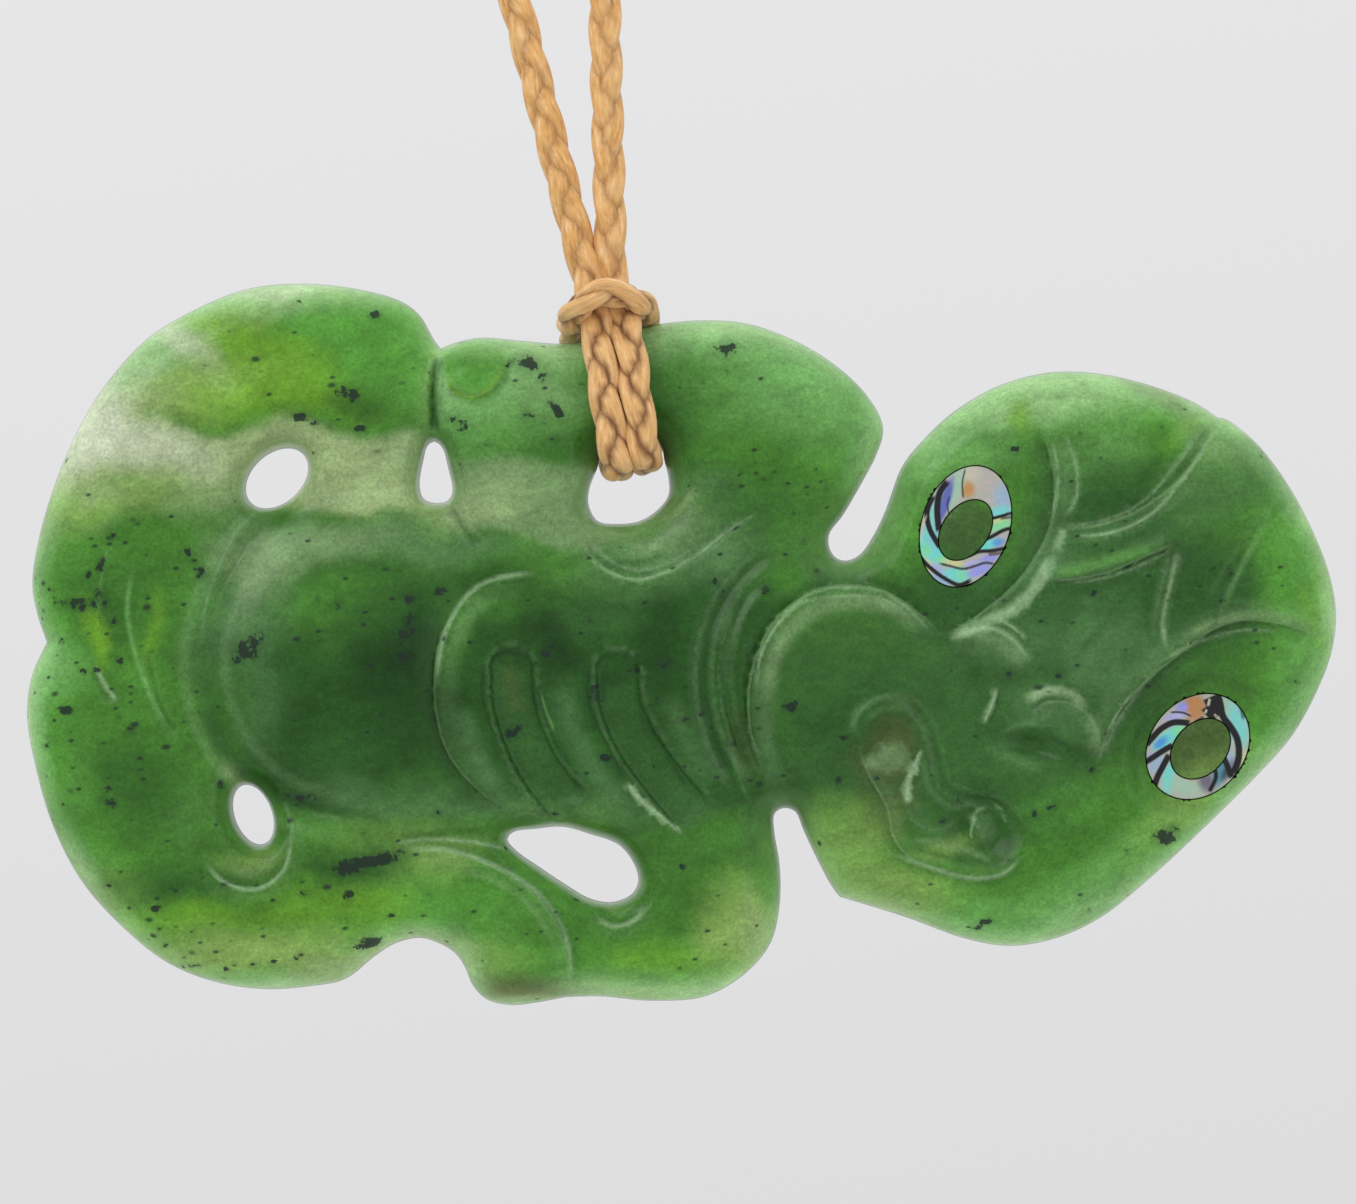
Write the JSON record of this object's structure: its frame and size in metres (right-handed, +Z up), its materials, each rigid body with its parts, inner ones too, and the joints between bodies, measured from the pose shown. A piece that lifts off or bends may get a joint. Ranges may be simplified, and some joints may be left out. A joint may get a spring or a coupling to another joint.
{
  "type": "hei tiki pendant",
  "caption": "Flat carved greenstone figure with inlaid shell eye rings, hanging on its side from a ring of plaited cord tied to its arm with a lark's head.",
  "frame": {"origin": "under side of the cord's closing knot, where the ring of cord hangs", "axes": "+Z up along the middle of the hanging ring of cord, +X to the right of the carved face, -Y the side that the carved face looks to"},
  "size_m": [0.0902, 0.0106, 0.3461],
  "materials": {
    "greenstone": "polished stone",
    "shell": "polished shell",
    "cord": "waxed plait"
  },
  "bodies": {
    "root": {"pendant": "greenstone", "eye_ring_upper": "shell", "eye_ring_lower": "shell", "hitch": "cord", "cord_left": "cord", "cord_right": "cord", "cord_knot": "cord"}
  },
  "joints": []
}
